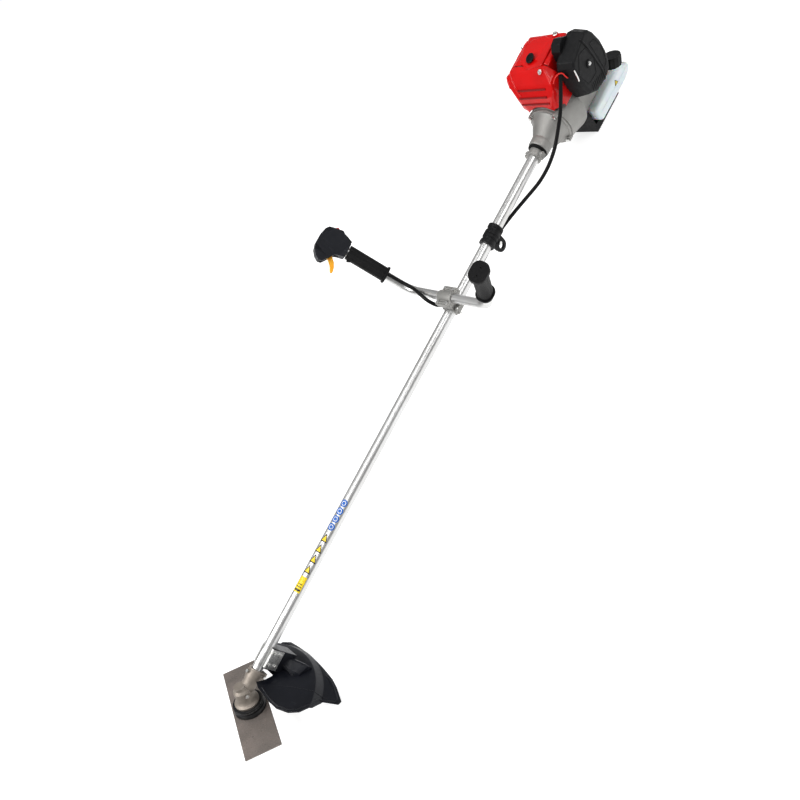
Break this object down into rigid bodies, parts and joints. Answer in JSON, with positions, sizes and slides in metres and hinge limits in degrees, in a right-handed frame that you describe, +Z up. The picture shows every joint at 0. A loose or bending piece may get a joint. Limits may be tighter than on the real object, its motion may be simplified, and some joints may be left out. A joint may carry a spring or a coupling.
{
  "type": "brush cutter",
  "caption": "Petrol brush cutter with a straight tube, bicycle handlebar, angled gear head, steel blade, deflector guard and a small four-stroke engine.",
  "frame": {"origin": "centre of the foot face under the fuel tank, on the ground", "axes": "+X along the tube from the blade to the engine, +Y the operator's right (throttle side), +Z up from the ground"},
  "size_m": [1.9187, 0.5345, 0.3833],
  "materials": {
    "alloy_tube": "satin drawn tube",
    "cast_alloy": "bead-blasted casting",
    "blade_steel": "milled, lightly oiled",
    "bright_steel": "zinc plated",
    "dark_steel": "black oxide",
    "black_plastic": "fine moulded texture",
    "guard_plastic": "semi-gloss moulding",
    "grip_rubber": "soft matt",
    "red_plastic": "gloss moulding",
    "tank_plastic": "translucent white",
    "amber_plastic": "gloss moulding"
  },
  "bodies": {
    "frame": {"air_box": "black_plastic", "air_cover": "black_plastic", "bar_clamp_base": "cast_alloy", "bar_clamp_bolts": "bright_steel", "bar_clamp_cap": "cast_alloy", "bar_clamp_under": "cast_alloy", "blade_guard": "guard_plastic", "carburettor": "cast_alloy", "clamp_bolts": "bright_steel", "clutch_case": "cast_alloy", "crankcase": "cast_alloy", "cylinder": "cast_alloy", "dust_collar": "dark_steel", "engine_screws": "bright_steel", "fan_cowl": "red_plastic", "fuel_line": "red_plastic", "fuel_tank": "tank_plastic", "gear_case": "cast_alloy", "guard_saddle": "black_plastic", "guard_strap": "bright_steel", "handlebar": "alloy_tube", "harness_clamp": "black_plastic", "left_grip": "grip_rubber", "muffler": "dark_steel", "pinion_bearings": "bright_steel", "piston": "cast_alloy", "recoil_housing": "black_plastic", "right_grip": "grip_rubber", "rubber_ring": "grip_rubber", "shaft_bushes": "grip_rubber", "shaft_tube": "alloy_tube", "spark_plug": "bright_steel", "spindle_bearings": "bright_steel", "tank_stand": "black_plastic", "throttle_case_front": "black_plastic", "throttle_case_rear": "black_plastic", "throttle_conduit": "black_plastic", "throttle_fasteners": "bright_steel", "top_cover": "red_plastic", "tube_collar": "cast_alloy"},
    "cutter": {"cutter_blade": "blade_steel", "upper_holder": "dark_steel", "lower_holder": "dark_steel", "blade_nut": "bright_steel", "output_spindle": "bright_steel", "crown_gear": "bright_steel"},
    "drive": {"drive_shaft": "bright_steel", "pinion": "bright_steel", "clutch_drum": "dark_steel"},
    "crank": {"crankshaft": "bright_steel", "flywheel": "cast_alloy", "clutch_shoes": "dark_steel"},
    "trigger": {"throttle_trigger": "amber_plastic"},
    "lockout": {"lockout_lever": "black_plastic"},
    "switch": {"stop_switch": "red_plastic"},
    "choke": {"choke_lever": "black_plastic"},
    "primer": {"primer_bulb": "grip_rubber"},
    "cap": {"fuel_cap": "black_plastic"},
    "starter_pulley": {"recoil_pulley": "black_plastic"},
    "starter_handle": {"recoil_handle": "black_plastic"}
  },
  "joints": [
    {"name": "blade_spin", "type": "hinge", "parent": "frame", "child": "cutter", "pos_m": [-1.73199, 0, 0.09537], "axis": [0.578, 0, 0.816], "continuous": true},
    {"name": "drive_spin", "type": "hinge", "parent": "frame", "child": "drive", "pos_m": [-0.9342, 0, 0.12479], "axis": [0.9999, 0, -0.0153], "continuous": true},
    {"name": "crank_spin", "type": "hinge", "parent": "frame", "child": "crank", "pos_m": [-0.0343, 0, 0.11099], "axis": [0.9999, 0, -0.0153], "continuous": true},
    {"name": "trigger_squeeze", "type": "hinge", "parent": "frame", "child": "trigger", "pos_m": [-0.64994, 0.2514, 0.34293], "axis": [0.0077, -0.8653, 0.5011], "range_deg": [0, 18], "stiffness_Nm_per_rad": 0.06, "springref_deg": -20.05},
    {"name": "lockout_press", "type": "hinge", "parent": "frame", "child": "lockout", "pos_m": [-0.6067, 0.24401, 0.3295], "axis": [-0.0077, 0.8653, -0.5011], "range_deg": [0, 9], "stiffness_Nm_per_rad": 0.04, "springref_deg": -20.05},
    {"name": "switch_slide", "type": "slide", "parent": "frame", "child": "switch", "axis": [-0.0157, 0.501, 0.8653], "range_m": [0, 0.005]},
    {"name": "choke_turn", "type": "hinge", "parent": "frame", "child": "choke", "pos_m": [-0.03295, -0.0565, 0.19898], "axis": [0, 1, 0], "range_deg": [0, 45]},
    {"name": "primer_press", "type": "slide", "parent": "frame", "child": "primer", "axis": [0.0153, 0, 0.9999], "range_m": [0, 0.0035], "stiffness_N_per_m": 400, "springref_m": -0.003},
    {"name": "cap_lift", "type": "slide", "parent": "frame", "child": "cap", "axis": [0.3656, -0.1506, 0.9185], "range_m": [0, 0.04]},
    {"name": "pulley_turn", "type": "hinge", "parent": "frame", "child": "starter_pulley", "pos_m": [0.03069, 0, 0.10999], "axis": [-0.9999, 0, 0.0153], "range_deg": [0, 156], "stiffness_Nm_per_rad": 0.02, "springref_deg": -45.84},
    {"name": "handle_pull", "type": "slide", "parent": "frame", "child": "starter_handle", "axis": [0, 1, 0], "range_m": [0, 0.06]}
  ],
  "couplings": [
    {"joint": "drive_spin", "follows": "blade_spin", "ratio": -1.3571},
    {"joint": "handle_pull", "follows": "pulley_turn", "m_per_rad": 0.0219}
  ]
}
